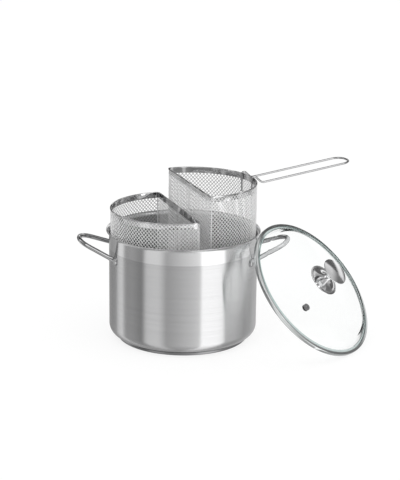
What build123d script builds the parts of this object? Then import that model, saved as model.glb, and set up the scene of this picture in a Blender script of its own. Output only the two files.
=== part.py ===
from build123d import *
import math
import os

# A tall stockpot for pasta with two half-round wire-mesh strainer inserts, one of them on a
# detachable wire handle, and a glass lid that leans against the pot. Sizes are millimetres and
# degrees. The origin is on the pot's axis where its base stands on the table, and +Z is up.

# Pot body
pot_inner_radius = 120.0
pot_wall = 0.8
pot_height = 180.0
pot_corner_radius = 16.0
rim_flare_radius = 6.0
rim_flare_angle = 75.0

# Sandwich base under the pot
base_height = 6.0
base_radius = 107.0
base_cap_wall = 0.6
base_cap_height = 5.0
base_cap_corner = 2.2
base_core_gap = 0.2
base_core_chamfer = 1.0

# The two bent-rod handles of the pot
handle_rod = 7.4
handle_pitch = 22.2
handle_root_stand = 3.2
handle_root_inset = 1.7
handle_root_drop = 38.7
handle_projection = 48.6
handle_end_radius = 33.6
handle_foot_azimuth = 24.6
handle_foot_length = 16.0
handle_foot_height = 12.5
handle_foot_thickness = 3.0
handle_foot_corner = 4.5
handle_foot_edge = 1.0
weld_gap = 0.05

# Strainer inserts, half-round in plan, with their flat walls facing each other
insert_turn = 19.5
insert_centre_offset = 15.6
insert_wall_clearance = 0.3
insert_flat_offset = 7.6
insert_corner_radius = 6.0
insert_height = 160.0
left_rim_rise = 38.0
right_rim_rise = 78.5
mesh_thickness = 0.9
flat_end_margin = 8.0
net_pitch = 13.6
net_web = 1.7
net_border = 4.0

# Steel strip folded over the mesh round the top of each insert
strip_thickness = 0.6
strip_height = 10.0
strip_lip = 2.6

# Wires and the overlapped seam inside each insert
hoop_wire = 2.4
corner_wire = 2.0
wire_gap = 0.05
seam_width = 6.0
seam_thickness = 0.6

# Detachable wire handle on the right insert
grip_wire = 3.3
grip_azimuth = 25.0
hook_spacing = 36.4
hook_leg = 30.0
hook_bend_radius = 2.4
hook_clearance = 0.3
hook_overhang = 1.3
grip_width = 40.2
grip_dip_reach = 12.0
grip_dip_drop = 8.5
grip_dip_bend = 10.0
grip_length = 171.0
grip_pitch = 6.7
grip_end_radius = 17.0

# Glass lid: where it leans, then its band, glass and knob
lid_overlap = 1.3
lid_tilt = 41.7
lid_azimuth = -33.1
lid_offset = 40.3
lid_rim_clearance = 0.73
lid_contact_steps = 48
lid_band_height = 6.0
lid_band_wall = 0.6
lid_band_lip = 4.6
lid_band_round = 0.5
glass_thickness = 4.0
glass_edge_gap = 0.3
flange_width = 6.9
shoulder_width = 11.2
dome_edge_height = 16.6
dome_height = 30.6
shoulder_round = 5.0

# Knob in the middle of the lid, made of a dished foot, a neck and a cap
knob_seat_gap = 0.1
knob_foot_radius = 27.0
knob_foot_edge = 1.2
knob_foot_height = 8.0
knob_foot_dish_radius = 14.5
knob_foot_dish_height = 2.9
knob_neck_radius = 6.8
knob_neck_length = 8.0
knob_cap_radius = 23.0
knob_cap_flare = 10.0
knob_cap_dish_radius = 15.5
knob_cap_dish_height = 3.2
knob_cap_edge = 1.6
knob_cap_crown = 2.0
screw_shank = 4.6
screw_hole = 5.2
screw_thread_depth = 6.0
screw_tip_gap = 0.5
thread_gap = 0.05
screw_head_radius = 4.6
screw_head_height = 2.4
washer_radius = 9.0
washer_thickness = 1.2

# Steam vent eyelet in the glass
vent_inset = 26.7
vent_azimuth = 198.5
vent_bore = 4.2
vent_tube_wall = 0.5
vent_flange_radius = 5.6
vent_flange_thickness = 0.6
vent_gap = 0.1

# Sizes that follow from the ones above
pot_outer_radius = pot_inner_radius + pot_wall
pot_floor_height = base_height + pot_wall
flare_centre_x = pot_outer_radius + rim_flare_radius
flare_outer = rim_flare_radius + pot_wall
flare_start = pot_height - flare_outer * math.sin(math.radians(rim_flare_angle))

os.makedirs("parts", exist_ok=True)


def save(piece, name):
    """Label a finished piece and write it to its own file."""
    piece.part.label = name
    export_step(piece.part, f"parts/{name}.step")


# Drawn pot: floor, rounded lower corner, straight wall and a pouring rim that flares outward
with BuildPart() as pot_shell:
    with BuildSketch(Plane.XZ):
        with BuildLine():
            bend_x = pot_outer_radius - pot_corner_radius
            bend_z = base_height + pot_corner_radius
            Line((0, base_height), (bend_x, base_height))
            CenterArc((bend_x, bend_z), pot_corner_radius, -90, 90)
            Line((pot_outer_radius, bend_z), (pot_outer_radius, flare_start))
            lower_flare = CenterArc((flare_centre_x, flare_start), rim_flare_radius, 180, -rim_flare_angle)
            upper_flare = CenterArc((flare_centre_x, flare_start), flare_outer, 180, -rim_flare_angle)
            Line(lower_flare @ 1, upper_flare @ 1)
            Line((pot_inner_radius, flare_start), (pot_inner_radius, bend_z))
            CenterArc((bend_x, bend_z), pot_corner_radius - pot_wall, 0, -90)
            Line((bend_x, pot_floor_height), (0, pot_floor_height))
            Line((0, pot_floor_height), (0, base_height))
        make_face()
    revolve(axis=Axis.Z)
save(pot_shell, "pot_shell")

# Aluminium heat-spreading disc pressed between the pot's floor and the steel cap
with BuildPart() as base_core:
    with BuildSketch(Plane.XY.offset(base_cap_wall)):
        Circle(base_radius - base_cap_wall - base_core_gap)
    extrude(amount=base_height - base_cap_wall)
    fillet(base_core.faces().sort_by(Axis.Z)[0].edges(), base_cap_corner - base_cap_wall - base_core_gap)
    with BuildSketch(Plane.XY.offset(base_height - base_core_chamfer)):
        Circle(base_radius)
        Circle(base_radius - base_cap_wall - base_core_gap - base_core_chamfer, mode=Mode.SUBTRACT)
    extrude(amount=base_core_chamfer, mode=Mode.SUBTRACT)
save(base_core, "base_core")

# Steel cap that wraps the disc and stands on the table
with BuildPart() as base_cap:
    with BuildSketch(Plane.XZ):
        with BuildLine():
            cap_x = base_radius - base_cap_corner
            Line((0, 0), (cap_x, 0))
            CenterArc((cap_x, base_cap_corner), base_cap_corner, -90, 90)
            Line((base_radius, base_cap_corner), (base_radius, base_cap_height))
            Line((base_radius, base_cap_height), (base_radius - base_cap_wall, base_cap_height))
            Line((base_radius - base_cap_wall, base_cap_height), (base_radius - base_cap_wall, base_cap_corner))
            CenterArc((cap_x, base_cap_corner), base_cap_corner - base_cap_wall, 0, -90)
            Line((cap_x, base_cap_wall), (0, base_cap_wall))
            Line((0, base_cap_wall), (0, 0))
        make_face()
    revolve(axis=Axis.Z)
save(base_cap, "base_cap")

# Pot handles: a rod bent in a plane that rises outward, with flattened feet welded to the wall
pitch = math.radians(handle_pitch)
foot_turn = math.radians(handle_foot_azimuth)
handle_root_reach = pot_outer_radius * math.cos(foot_turn) + handle_root_stand
handle_root_half_span = pot_outer_radius * math.sin(foot_turn) - handle_root_inset
handle_root_height = pot_height - handle_root_drop
handle_tip_reach = pot_outer_radius + handle_projection
handle_tip = (handle_tip_reach - handle_root_reach) / math.cos(pitch)
bow_x = handle_tip - handle_end_radius
to_root = math.atan2(handle_root_half_span, -bow_x)
bow_angle = to_root - math.acos(handle_end_radius / math.hypot(bow_x, handle_root_half_span))
leg_x = bow_x + handle_end_radius * math.cos(bow_angle)
leg_y = handle_end_radius * math.sin(bow_angle)
leg_turn = math.atan2(handle_root_half_span - leg_y, -leg_x)
root_x = handle_rod * math.cos(leg_turn)
root_y = handle_root_half_span + handle_rod * math.sin(leg_turn)
foot_height = handle_root_height + root_x * math.sin(pitch)

for side_name, side in (("left", -1), ("right", 1)):
    rod_plane = Plane(
        origin=(side * handle_root_reach, 0, handle_root_height),
        x_dir=(side * math.cos(pitch), 0, math.sin(pitch)),
        z_dir=(-side * math.sin(pitch), 0, math.cos(pitch)),
    )
    with BuildPart() as pot_handle:
        with BuildLine(rod_plane) as rod_path:
            Line((root_x, root_y), (leg_x, leg_y))
            ThreePointArc((leg_x, leg_y), (handle_tip, 0), (leg_x, -leg_y))
            Line((leg_x, -leg_y), (root_x, -root_y))
        with BuildSketch(Plane(origin=rod_path.line @ 0, z_dir=rod_path.line % 0)):
            Circle(handle_rod / 2)
        sweep()
        for end in (-1, 1):
            outward = Vector(side * math.cos(foot_turn), end * math.sin(foot_turn), 0)
            foot_plane = Plane(origin=(0, 0, foot_height), x_dir=(-outward.Y, outward.X, 0), z_dir=outward)
            with BuildPart(mode=Mode.PRIVATE) as foot:
                with BuildSketch(Plane.XY.offset(foot_height - handle_foot_height)):
                    Circle(pot_outer_radius + handle_foot_thickness)
                extrude(amount=2 * handle_foot_height)
                with BuildSketch(foot_plane):
                    RectangleRounded(handle_foot_length, handle_foot_height, handle_foot_corner)
                extrude(amount=pot_outer_radius + handle_rod, mode=Mode.INTERSECT)
                fillet(foot.faces().sort_by(Axis((0, 0, 0), outward))[-1].edges(), handle_foot_edge)
            add(foot.part)
        with BuildSketch(Plane.XY):
            Circle(pot_outer_radius + weld_gap)
        extrude(amount=pot_height, mode=Mode.SUBTRACT)
    save(pot_handle, f"{side_name}_handle")

# Strainer inserts. Each is drawn in a frame whose x axis points from the flat wall to the round
# one, and whose z axis starts at the insert's own floor. Its rim strip just clears the pot's wall
insert_radius = pot_inner_radius - insert_wall_clearance - strip_thickness - insert_centre_offset
left_rim_height = pot_height + left_rim_rise
right_rim_height = pot_height + right_rim_rise
half_chord = math.sqrt(insert_radius**2 - (insert_centre_offset - insert_flat_offset) ** 2)
flat_half = half_chord - flat_end_margin
mesh_top = insert_height - strip_thickness
strip_inset = mesh_thickness + strip_thickness
net_gap = net_pitch / math.sqrt(2) - net_web
bend_x = insert_flat_offset + insert_corner_radius
bend_swing = insert_radius - insert_corner_radius
bend_y = math.sqrt(bend_swing**2 - (insert_centre_offset - bend_x) ** 2)
bend_half = math.radians(45) + math.asin((insert_centre_offset - bend_x) / bend_swing) / 2


def half_round(inset, mode=Mode.ADD):
    """Add the insert's half-round outline, moved in by inset, to the sketch being drawn."""
    with BuildSketch(mode=Mode.PRIVATE) as outline:
        with Locations((insert_centre_offset, 0)):
            Circle(insert_radius - inset)
        with Locations((insert_flat_offset + inset, 0)):
            Rectangle(2 * insert_radius, 4 * insert_radius, align=(Align.MAX, Align.CENTER), mode=Mode.SUBTRACT)
        fillet(outline.vertices(), insert_corner_radius - inset)
    add(outline.sketch, mode=mode)


def net_places(reach_x, reach_y, inside):
    """Return the centres of a net's staggered diamond gaps that pass the given test."""
    step = net_pitch / 2
    columns = int(reach_x / step)
    rows = int(reach_y / step)
    return [
        (i * step, j * step)
        for i in range(-columns, columns + 1)
        for j in range(-rows, rows + 1)
        if (i + j) % 2 == 0 and inside(i * step, j * step)
    ]


def in_floor(x, y):
    """Tell whether a floor gap centred at x, y leaves the net's border whole."""
    edge = net_border + net_pitch / 2
    from_centre = math.hypot(x - insert_centre_offset, y)
    return x > insert_flat_offset + edge and from_centre < insert_radius - edge


for side_name, turn, rim_height in (
    ("left", insert_turn + 180, left_rim_height),
    ("right", insert_turn, right_rim_height),
):
    across = Vector(math.cos(math.radians(turn)), math.sin(math.radians(turn)), 0)
    along = Vector(-across.Y, across.X, 0)
    floor_plane = Plane(origin=(0, 0, rim_height - insert_height), x_dir=across, z_dir=(0, 0, 1))
    wall_height = mesh_top - mesh_thickness

    # Round mesh wall, which turns in at both corners to meet the flat wall
    with BuildPart() as curved_mesh:
        with BuildSketch(floor_plane.offset(mesh_thickness)):
            half_round(0)
            half_round(mesh_thickness, Mode.SUBTRACT)
            with Locations((insert_flat_offset, 0)):
                Rectangle(insert_corner_radius, 2 * flat_half, mode=Mode.SUBTRACT)
        extrude(amount=wall_height)
    save(curved_mesh, f"{side_name}_curved_mesh")

    # Flat mesh wall, a net of diamond gaps
    wall_middle = floor_plane.from_local_coords((insert_flat_offset, 0, mesh_thickness + wall_height / 2))
    with BuildPart() as flat_mesh:
        with BuildSketch(Plane(origin=wall_middle, x_dir=along, z_dir=across)):
            Rectangle(2 * flat_half, wall_height)
            edge = net_border + net_pitch / 2
            with Locations(*net_places(flat_half - edge, wall_height / 2 - edge, lambda x, y: True)):
                Rectangle(net_gap, net_gap, rotation=45, mode=Mode.SUBTRACT)
        extrude(amount=mesh_thickness)
    save(flat_mesh, f"{side_name}_flat_mesh")

    # Mesh floor, cut to the same outline
    with BuildPart() as floor_mesh:
        with BuildSketch(floor_plane):
            half_round(0)
            with Locations(*net_places(2 * insert_radius, insert_radius, in_floor)):
                Rectangle(net_gap, net_gap, rotation=45, mode=Mode.SUBTRACT)
        extrude(amount=mesh_thickness)
    save(floor_mesh, f"{side_name}_floor_mesh")

    # Rim strip: a tall inner leg, a fold over the mesh's top edge and a short outer lip
    with BuildPart() as rim_strip:
        with BuildSketch(floor_plane.offset(insert_height - strip_height)):
            half_round(-strip_thickness)
            half_round(strip_inset, Mode.SUBTRACT)
        extrude(amount=strip_height)
        with BuildSketch(floor_plane.offset(insert_height - strip_height)):
            half_round(-2 * strip_thickness)
            half_round(mesh_thickness, Mode.SUBTRACT)
        extrude(amount=strip_height - strip_lip, mode=Mode.SUBTRACT)
        with BuildSketch(floor_plane.offset(insert_height - strip_height)):
            half_round(0)
            half_round(mesh_thickness, Mode.SUBTRACT)
        extrude(amount=strip_height - strip_thickness, mode=Mode.SUBTRACT)
    save(rim_strip, f"{side_name}_rim_strip")

    # Wire hoop that stiffens the bottom edge, inside the mesh
    hoop_inset = mesh_thickness + wire_gap + hoop_wire / 2
    hoop_level = floor_plane.offset(mesh_thickness + wire_gap + hoop_wire / 2)
    with BuildPart() as bottom_hoop:
        with BuildSketch(hoop_level, mode=Mode.PRIVATE) as hoop_path:
            half_round(hoop_inset)
        hoop_line = hoop_path.sketch.face().outer_wire()
        with BuildSketch(Plane(origin=hoop_line @ 0, z_dir=hoop_line % 0)):
            Circle(hoop_wire / 2)
        sweep(path=hoop_line)
    save(bottom_hoop, f"{side_name}_bottom_hoop")

    # Upright wires in the two corners, from the hoop to the rim strip
    post_base = mesh_thickness + 2 * wire_gap + hoop_wire
    post_reach = insert_corner_radius - mesh_thickness - wire_gap - corner_wire / 2
    post_x = bend_x - post_reach * math.cos(bend_half)
    post_y = bend_y + post_reach * math.sin(bend_half)
    with BuildPart() as corner_wires:
        with BuildSketch(floor_plane.offset(post_base)):
            with Locations((post_x, post_y), (post_x, -post_y)):
                Circle(corner_wire / 2)
        extrude(amount=insert_height - strip_height - wire_gap - post_base)
    save(corner_wires, f"{side_name}_corner_wires")

    # Seam where the mesh's two ends overlap, in the middle of the flat wall
    with BuildPart() as mesh_seam:
        with BuildSketch(floor_plane.offset(post_base)):
            with Locations((insert_flat_offset + mesh_thickness, 0)):
                Rectangle(seam_thickness, seam_width, align=(Align.MIN, Align.CENTER))
        extrude(amount=insert_height - strip_height - wire_gap - post_base)
    save(mesh_seam, f"{side_name}_mesh_seam")

# Detachable wire handle: two legs hook over the right insert's rim and press on its inside, dip
# outside the rim and run out to a rounded end
grip_across = Vector(math.cos(math.radians(grip_azimuth)), math.sin(math.radians(grip_azimuth)), 0)
insert_across = Vector(math.cos(math.radians(insert_turn)), math.sin(math.radians(insert_turn)), 0)
grip_origin = insert_across * insert_centre_offset + Vector(0, 0, right_rim_height)
grip_plane = Plane(origin=grip_origin, x_dir=grip_across, z_dir=(0, 0, 1))
wire_radius = grip_wire / 2
hook_half = hook_spacing / 2
grip_half = grip_width / 2
leg_outer_y = hook_half + wire_radius
hook_x = math.sqrt((insert_radius - strip_inset) ** 2 - leg_outer_y**2) - wire_radius - hook_clearance
over_x = math.sqrt((insert_radius + strip_thickness) ** 2 - hook_half**2) + hook_overhang
top_z = wire_radius + hook_clearance
dip_x = insert_radius + grip_dip_reach
end_x = dip_x + grip_length * math.cos(math.radians(grip_pitch))
end_z = grip_length * math.sin(math.radians(grip_pitch)) - grip_dip_drop
half_route = [
    (hook_x, hook_half, -hook_leg),
    (hook_x, hook_half, top_z),
    (over_x, hook_half, top_z),
    (dip_x, grip_half, -grip_dip_drop),
    (end_x, grip_half, end_z),
]
route = [grip_plane.from_local_coords((x, -y, z)) for x, y, z in half_route]
route += [grip_plane.from_local_coords(place) for place in reversed(half_route)]
half_bends = [hook_bend_radius, hook_bend_radius, grip_dip_bend, grip_end_radius]
with BuildPart() as basket_handle:
    with BuildLine() as grip_path:
        FilletPolyline(*route, radius=half_bends + half_bends[::-1])
    with BuildSketch(Plane(origin=grip_path.line @ 0, z_dir=grip_path.line % 0)):
        Circle(wire_radius)
    sweep()
save(basket_handle, "basket_handle")

# Lid. It is drawn in a section plane whose x axis is the lid's radius and y axis the lid's axis.
# It stands on the table on its lowest edge and leans on the pot's rim
lid_radius = pot_outer_radius + lid_overlap
shoulder_radius = lid_radius - flange_width
dome_radius = shoulder_radius - shoulder_width
vent_distance = dome_radius - vent_inset
tilt = math.radians(lid_tilt)
azimuth = math.radians(lid_azimuth)
lid_axis = Vector(math.cos(tilt) * math.cos(azimuth), math.cos(tilt) * math.sin(azimuth), math.sin(tilt))
lid_side = Vector(-math.sin(azimuth), math.cos(azimuth), 0)
lid_low = (lid_radius - lid_band_round) * math.cos(tilt) + lid_band_round * (1 - math.sin(tilt))
lid_rise = lid_axis.cross(lid_side)


def lid_clear_x(edge):
    """Return how far out the lid's centre must be for a point of its edge to clear the pot."""
    climb = lid_low + edge.Z - flare_start
    if climb > pot_height - flare_start:
        return 0
    climb = min(max(climb, 0), rim_flare_radius * math.sin(math.radians(rim_flare_angle)))
    reach = flare_centre_x - math.sqrt(rim_flare_radius**2 - climb**2) + lid_rim_clearance
    return math.sqrt(max(reach**2 - (edge.Y - lid_offset) ** 2, 0)) - edge.X


lid_top_share = min((pot_height - lid_low) / (lid_radius * lid_rise.Z), 1)
lid_lean = math.asin(lid_top_share)
lid_edges = [lid_lean * step / lid_contact_steps for step in range(lid_contact_steps + 1)]
lid_centre_x = max(
    lid_clear_x((lid_side * (way * math.cos(turn)) + lid_rise * math.sin(turn)) * lid_radius)
    for turn in lid_edges
    for way in (-1, 1)
)
lid_centre = Vector(lid_centre_x, -lid_offset, lid_low)
lid_plane = Plane(origin=lid_centre, x_dir=lid_side, z_dir=lid_axis)
lid_section = Plane(origin=lid_centre, x_dir=lid_side, z_dir=lid_side.cross(lid_axis))
lid_line = Axis(lid_centre, lid_axis)

dome_sphere = (dome_radius**2 + (dome_height - dome_edge_height) ** 2) / (2 * (dome_height - dome_edge_height))
dome_half = math.asin(dome_radius / dome_sphere)
inner_sphere = dome_sphere - glass_thickness
sphere_centre = dome_height - dome_sphere
glass_edge_radius = lid_radius - lid_band_wall - glass_edge_gap
glass_low = (lid_band_height - glass_thickness) / 2
glass_high = glass_low + glass_thickness
shoulder_slope = math.atan2(dome_edge_height - glass_high, shoulder_radius - dome_radius)
shoulder_shift = glass_thickness * math.tan(shoulder_slope / 2)
inner_edge_x = inner_sphere * math.sin(dome_half)
inner_edge_y = sphere_centre + inner_sphere * math.cos(dome_half)

# Vent place on the dome, with its own plane square to the glass
vent_lean = math.asin(vent_distance / dome_sphere)
vent_turn = math.radians(vent_azimuth)
vent_out = lid_side * math.cos(vent_turn) + lid_rise * math.sin(vent_turn)
vent_axis = lid_axis * math.cos(vent_lean) + vent_out * math.sin(vent_lean)
vent_foot = lid_centre + lid_axis * sphere_centre + vent_axis * dome_sphere
vent_plane = Plane(origin=vent_foot, z_dir=vent_axis)
vent_hole = vent_bore / 2 + vent_tube_wall + vent_gap

# Domed glass: a flat edge inside the band, a short shoulder and a shallow dome
with BuildPart() as lid_glass:
    with BuildSketch(lid_section) as glass_section:
        with BuildLine():
            Line((0, dome_height - glass_thickness), (0, dome_height))
            CenterArc((0, sphere_centre), dome_sphere, 90, -math.degrees(dome_half))
            Polyline(
                (dome_radius, dome_edge_height),
                (shoulder_radius, glass_high),
                (glass_edge_radius, glass_high),
                (glass_edge_radius, glass_low),
                (shoulder_radius - shoulder_shift, glass_low),
                (inner_edge_x, inner_edge_y),
            )
            CenterArc((0, sphere_centre), inner_sphere, 90 - math.degrees(dome_half), math.degrees(dome_half))
        make_face()
        bends = glass_section.vertices().group_by(Axis.X)[1:-1]
        fillet([corner for group in bends for corner in group], shoulder_round)
    revolve(axis=lid_line)
    with BuildSketch(lid_plane):
        Circle(screw_hole / 2)
    extrude(amount=dome_height + glass_thickness, mode=Mode.SUBTRACT)
    with BuildSketch(vent_plane):
        Circle(vent_hole)
    extrude(amount=2 * glass_thickness, both=True, mode=Mode.SUBTRACT)
save(lid_glass, "lid_glass")

# Steel band rolled round the glass edge
with BuildPart() as lid_band:
    with BuildSketch(lid_section) as band_section:
        with Locations((lid_radius, 0)):
            Rectangle(lid_band_lip, lid_band_height, align=(Align.MAX, Align.MIN))
        corners = band_section.vertices().group_by(Axis.X)[-1]
        fillet(corners, lid_band_round)
        with Locations((lid_radius - lid_band_wall, lid_band_wall)):
            Rectangle(
                lid_band_lip,
                lid_band_height - 2 * lid_band_wall,
                align=(Align.MAX, Align.MIN),
                mode=Mode.SUBTRACT,
            )
    revolve(axis=lid_line)
save(lid_band, "lid_band")

# Dished knob foot, which stands on the dome
foot_base = dome_height + knob_seat_gap
foot_top = foot_base + knob_foot_height
screw_reach = knob_foot_height + knob_neck_length + screw_thread_depth
with BuildPart() as knob_foot:
    with BuildSketch(lid_section):
        with BuildLine():
            Polyline(
                (screw_hole / 2, foot_top),
                (screw_hole / 2, foot_base),
                (knob_foot_radius, foot_base),
                (knob_foot_radius, foot_base + knob_foot_edge),
            )
            ThreePointArc(
                (knob_foot_radius, foot_base + knob_foot_edge),
                (knob_foot_dish_radius, foot_base + knob_foot_dish_height),
                (knob_neck_radius, foot_top),
            )
            Line((knob_neck_radius, foot_top), (screw_hole / 2, foot_top))
        make_face()
    revolve(axis=lid_line)
save(knob_foot, "knob_foot")

# Straight neck between the foot and the cap
neck_top = foot_top + knob_neck_length
with BuildPart() as knob_neck:
    with BuildSketch(lid_plane.offset(foot_top)):
        Circle(knob_neck_radius)
        Circle(screw_hole / 2, mode=Mode.SUBTRACT)
    extrude(amount=knob_neck_length)
save(knob_neck, "knob_neck")

# Flared cap with a slightly crowned top
cap_edge = neck_top + knob_cap_flare
cap_top = cap_edge + knob_cap_edge
with BuildPart() as knob_cap:
    with BuildSketch(lid_section):
        with BuildLine():
            Line((0, cap_top + knob_cap_crown), (0, neck_top))
            Line((0, neck_top), (knob_neck_radius, neck_top))
            ThreePointArc(
                (knob_neck_radius, neck_top),
                (knob_cap_dish_radius, cap_edge - knob_cap_dish_height),
                (knob_cap_radius, cap_edge),
            )
            Line((knob_cap_radius, cap_edge), (knob_cap_radius, cap_top))
            RadiusArc(
                (knob_cap_radius, cap_top),
                (0, cap_top + knob_cap_crown),
                -(knob_cap_radius**2 + knob_cap_crown**2) / (2 * knob_cap_crown),
            )
        make_face()
    revolve(axis=lid_line)
    with BuildSketch(lid_plane.offset(foot_base)):
        Circle(screw_shank / 2 + thread_gap)
    extrude(amount=screw_reach + screw_tip_gap, mode=Mode.SUBTRACT)
save(knob_cap, "knob_cap")

# Washer and screw that clamp the knob from inside the lid
washer_top = dome_height - glass_thickness - knob_seat_gap - washer_radius**2 / (2 * inner_sphere)
with BuildPart() as knob_washer:
    with BuildSketch(lid_plane.offset(washer_top - washer_thickness)):
        Circle(washer_radius)
        Circle(screw_hole / 2, mode=Mode.SUBTRACT)
    extrude(amount=washer_thickness)
save(knob_washer, "knob_washer")

head_base = washer_top - washer_thickness - screw_head_height
with BuildPart() as knob_screw:
    with BuildSketch(lid_plane.offset(head_base)):
        Circle(screw_head_radius)
    extrude(amount=screw_head_height)
    with BuildSketch(lid_plane.offset(head_base + screw_head_height)):
        Circle(screw_shank / 2)
    extrude(amount=foot_base + screw_reach - head_base - screw_head_height)
save(knob_screw, "knob_screw")

# Steam vent eyelet: a tube through the glass with a flange on each side
with BuildPart() as vent_eyelet:
    with BuildSketch(vent_plane.offset(vent_gap)):
        Circle(vent_flange_radius)
    extrude(amount=vent_flange_thickness)
    with BuildSketch(vent_plane.offset(vent_gap)):
        Circle(vent_bore / 2 + vent_tube_wall)
    extrude(amount=-glass_thickness - 2 * vent_gap)
    with BuildSketch(vent_plane.offset(-glass_thickness - vent_gap)):
        Circle(vent_flange_radius)
    extrude(amount=-vent_flange_thickness)
    with BuildSketch(vent_plane.offset(2 * glass_thickness)):
        Circle(vent_bore / 2)
    extrude(amount=-4 * glass_thickness, mode=Mode.SUBTRACT)
save(vent_eyelet, "vent_eyelet")
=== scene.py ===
"""Looks of a steel pasta pot with two half-round strainer inserts and a leaning glass lid.

Lengths are metres and angles are degrees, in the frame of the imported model: the pot's axis is Z,
its base stands on the table at z = 0, and the photograph looks along +Y.
"""

import logging
import math
from dataclasses import dataclass
from enum import Enum
from itertools import product
from typing import Sequence

import bpy
from mathutils import Matrix, Vector


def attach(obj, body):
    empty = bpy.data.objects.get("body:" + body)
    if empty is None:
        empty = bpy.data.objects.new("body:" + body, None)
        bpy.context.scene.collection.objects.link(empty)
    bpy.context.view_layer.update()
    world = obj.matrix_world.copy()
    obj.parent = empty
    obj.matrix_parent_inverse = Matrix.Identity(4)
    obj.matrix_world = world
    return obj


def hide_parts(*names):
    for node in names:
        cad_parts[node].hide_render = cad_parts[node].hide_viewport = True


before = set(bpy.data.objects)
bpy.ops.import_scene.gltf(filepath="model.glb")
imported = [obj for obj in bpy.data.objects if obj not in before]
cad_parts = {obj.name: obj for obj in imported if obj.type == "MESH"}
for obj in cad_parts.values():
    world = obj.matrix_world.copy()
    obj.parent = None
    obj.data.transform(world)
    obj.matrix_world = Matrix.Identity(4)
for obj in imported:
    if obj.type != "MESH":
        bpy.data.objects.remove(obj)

LOG = logging.getLogger("pasta_pot")
NO_RADIUS = 1e-6
NO_TURN = 0.001
CREASE = 35.0
QUARTER_TURN = 0.25
WHITE = (1.0, 1.0, 1.0, 1.0)

Node = bpy.types.Node
Tree = bpy.types.NodeTree
Piece = bpy.types.Object
Ring = list[tuple[float, float]]
Pairs = tuple[tuple[float, float], ...]


class Slot(Enum):
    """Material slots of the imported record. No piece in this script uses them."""

    SATIN = "satin_steel"
    POLISHED = "polished_steel"
    MESH = "mesh_steel"
    WIRE = "wire_steel"
    GLASS = "lid_glass"


class Side(Enum):
    """The two sides of the pot, with the sign of their x direction."""

    LEFT = -1
    RIGHT = 1

    @property
    def word(self) -> str:
        """The side's name as the node names spell it."""
        return self.name.lower()


# Outlines and meshes


def arc(centre: tuple[float, float], radius: float, start: float, end: float, steps: int) -> Ring:
    """Return points along an arc in a profile's plane.

    Args:
        centre: The arc's centre.
        radius: Its radius.
        start: The angle of its first point, in degrees.
        end: The angle of its last point, in degrees.
        steps: How many spans the arc is divided into.

    Returns:
        The arc's points from start to end, both ends included.
    """
    angles = [math.radians(start + (end - start) * i / steps) for i in range(steps + 1)]
    return [(centre[0] + radius * math.cos(a), centre[1] + radius * math.sin(a)) for a in angles]


def round_corners(points: Sequence[Vector], radii: Sequence[float], steps: int) -> list[Vector]:
    """Replace each inner corner of a line of points by an arc that meets both runs smoothly.

    Args:
        points: The line's corners, in two or three dimensions.
        radii: One radius for each inner corner. Zero keeps the corner sharp.
        steps: How many spans each arc is divided into.

    Returns:
        The rounded line's points.
    """
    line = [points[0].copy()]
    for before, corner, after, radius in zip(points, points[1:], points[2:], radii):
        back = (before - corner).normalized()
        ahead = (after - corner).normalized()
        opening = back.angle(ahead)
        if radius <= 0 or opening > math.pi - NO_TURN:
            line.append(corner.copy())
            continue
        reach = radius / math.tan(opening / 2)
        centre = corner + (back + ahead).normalized() * (radius / math.sin(opening / 2))
        first = corner + back * reach - centre
        last = corner + ahead * reach - centre
        sweep = first.angle(last)
        for i in range(steps + 1):
            share = i / steps
            spoke = first * math.sin((1 - share) * sweep) + last * math.sin(share * sweep)
            line.append(centre + spoke / math.sin(sweep))
    line.append(points[-1].copy())
    return line


def rounded_profile(points: Ring, radii: Sequence[float], steps: int = 6) -> Ring:
    """Round the inner corners of a profile given as plain pairs.

    Args:
        points: The profile's corners.
        radii: One radius for each inner corner.
        steps: How many spans each arc is divided into.

    Returns:
        The rounded profile's points.
    """
    return [(p.x, p.y) for p in round_corners([Vector(p) for p in points], radii, steps)]


def make_object(name: str, verts: Sequence[Sequence[float]], faces: Sequence[Sequence[int]],
                crease: float = CREASE) -> Piece:
    """Make a smooth-shaded mesh object whose edges stay sharp past a given angle.

    Args:
        name: The object's name.
        verts: Its vertices.
        faces: Its faces, as lists of vertex numbers.
        crease: The angle between two faces, in degrees, past which their edge is sharp.

    Returns:
        The new object, linked to the scene.
    """
    mesh = bpy.data.meshes.new(name)
    mesh.from_pydata([tuple(v) for v in verts], [], [tuple(f) for f in faces])
    mesh.validate()
    mesh.shade_smooth()
    mesh.set_sharp_from_angle(angle=math.radians(crease))
    obj = bpy.data.objects.new(name, mesh)
    bpy.context.scene.collection.objects.link(obj)
    return obj


def revolve(name: str, profile: Ring, segments: int, placement: Matrix | None = None,
            closed: bool = False) -> Piece:
    """Turn a profile of (radius, height) pairs about the local Z axis.

    The profile runs so that the material lies to its left, seen with the radius to the right.

    Args:
        name: The new object's name.
        profile: Pairs of radius and height. A radius of zero makes a pole.
        segments: How many spans the full turn has.
        placement: Where the local axes stand. None leaves the pot's own axis.
        closed: True joins the last point to the first one.

    Returns:
        The new object.
    """
    placement = placement or Matrix.Identity(4)
    verts: list[Vector] = []
    rings: list[list[int]] = []
    for radius, height in profile:
        if radius < NO_RADIUS:
            verts.append(placement @ Vector((0, 0, height)))
            rings.append([len(verts) - 1] * segments)
            continue
        start = len(verts)
        for i in range(segments):
            turn = math.tau * i / segments
            verts.append(placement @ Vector((radius * math.cos(turn), radius * math.sin(turn), height)))
        rings.append(list(range(start, start + segments)))
    faces: list[list[int]] = []
    pairs = list(zip(rings, rings[1:])) + ([(rings[-1], rings[0])] if closed else [])
    for low, high in pairs:
        for i in range(segments):
            j = (i + 1) % segments
            face = list(dict.fromkeys([low[i], low[j], high[j], high[i]]))
            if len(face) > 2:
                faces.append(face)
    return make_object(name, verts, faces)


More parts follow.
